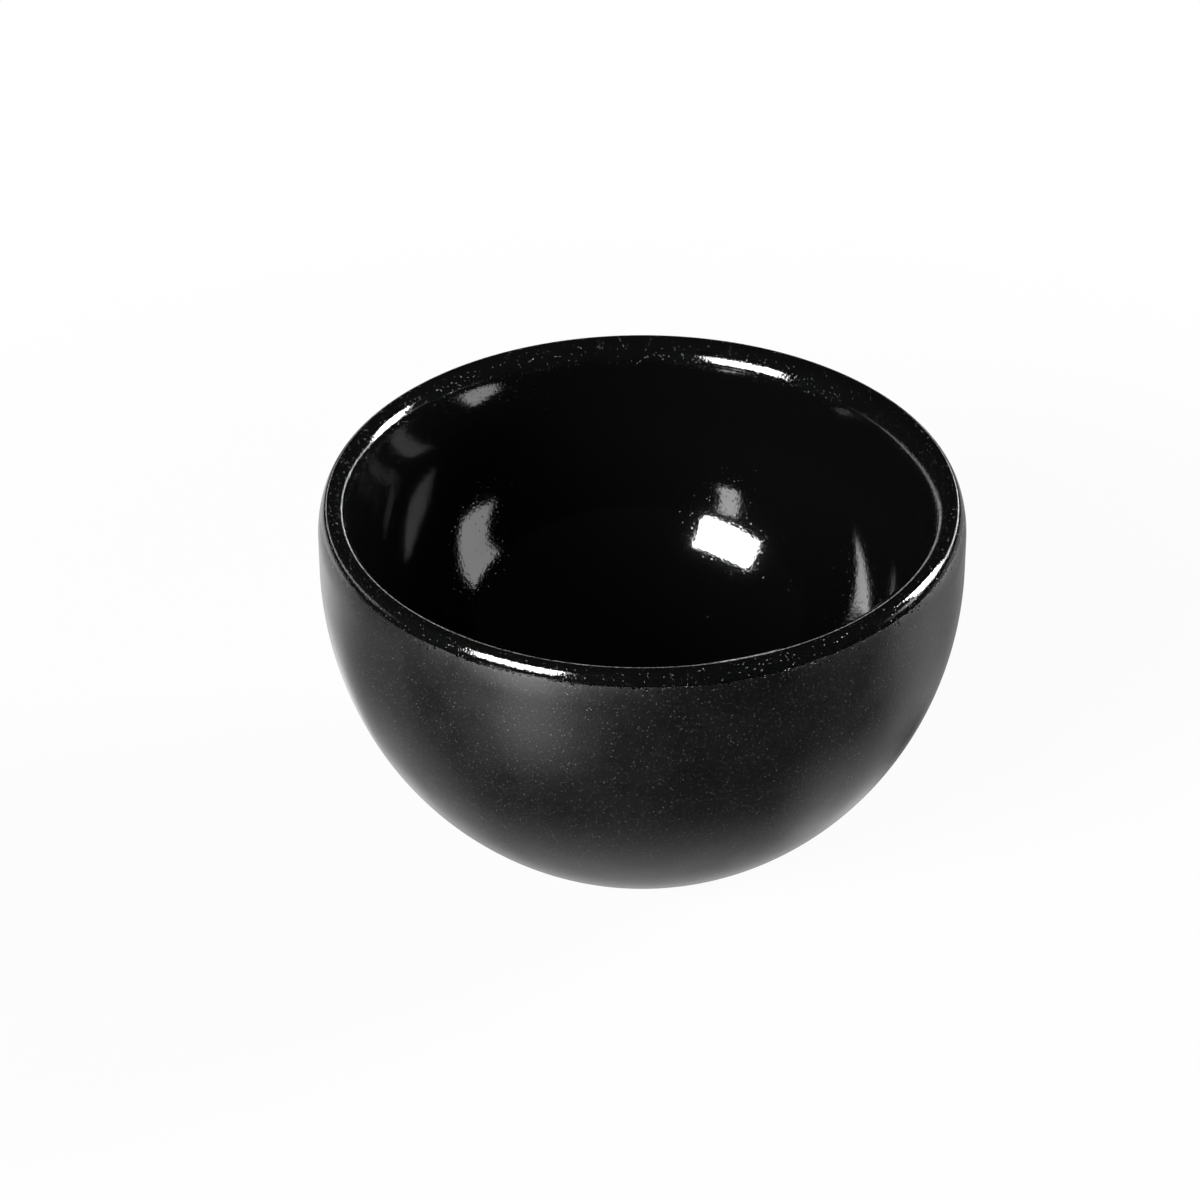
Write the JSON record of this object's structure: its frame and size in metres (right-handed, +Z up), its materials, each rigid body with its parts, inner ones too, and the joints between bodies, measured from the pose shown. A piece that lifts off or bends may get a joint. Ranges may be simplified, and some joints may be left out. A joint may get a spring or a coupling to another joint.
{
  "type": "coffee cupping bowl",
  "caption": "Round footed stoneware bowl for tasting coffee, gloss black glaze inside and over the lip, speckled satin black glaze outside.",
  "frame": {"origin": "centre of the standing ring's lower face, on the surface that the bowl stands on", "axes": "+Z up along the bowl's axis of turning; X and Y are alike, and the picture looks along +Y"},
  "size_m": [0.096, 0.096, 0.0568],
  "materials": {
    "bare_clay": "bare fired stoneware, matte",
    "gloss_glaze": "gloss black glaze",
    "satin_glaze": "satin black glaze with fine glints"
  },
  "bodies": {
    "root": {"clay_body": "bare_clay", "inside_gloss_glaze": "gloss_glaze", "outside_satin_glaze": "satin_glaze", "foot_recess_glaze": "satin_glaze"}
  },
  "joints": []
}
